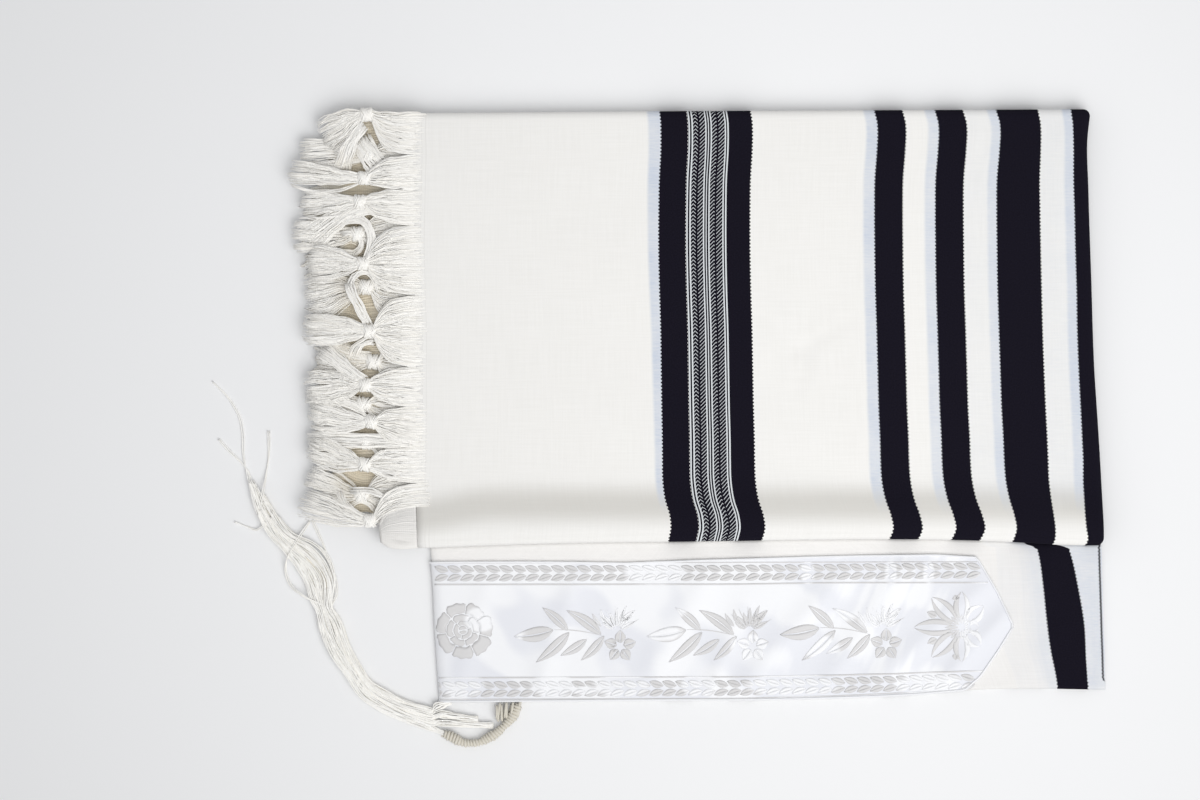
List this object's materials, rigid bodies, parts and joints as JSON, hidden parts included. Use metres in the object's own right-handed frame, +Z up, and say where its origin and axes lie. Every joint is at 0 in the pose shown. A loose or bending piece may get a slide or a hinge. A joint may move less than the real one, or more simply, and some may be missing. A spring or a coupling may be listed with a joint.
{
  "type": "folded prayer shawl",
  "caption": "Fringed woollen prayer shawl with dark woven stripes, folded flat, with a satin neck band and long corner tassels.",
  "frame": {"origin": "the middle of the folded shawl's outline, on the surface it lies on", "axes": "+X along the cloth's length, from the fringe to the fold; +Y across it, from the neck band to the back fold; +Z up"},
  "size_m": [0.6719, 0.4827, 0.0257],
  "materials": {
    "wool": "plain woven wool with dark stripes",
    "satin": "figured satin",
    "fringe_yarn": "loose wool yarn",
    "tassel_string": "twisted wool string"
  },
  "bodies": {
    "root": {"folded_layers": "wool", "top_panel": "wool", "flap_panel": "wool", "atara": "satin", "fringe_upper": "fringe_yarn", "fringe_lower": "fringe_yarn", "fringe_turn": "fringe_yarn", "tzitzit_1": "tassel_string", "tzitzit_2": "tassel_string", "tzitzit_3": "tassel_string", "tzitzit_4": "tassel_string"}
  },
  "joints": []
}
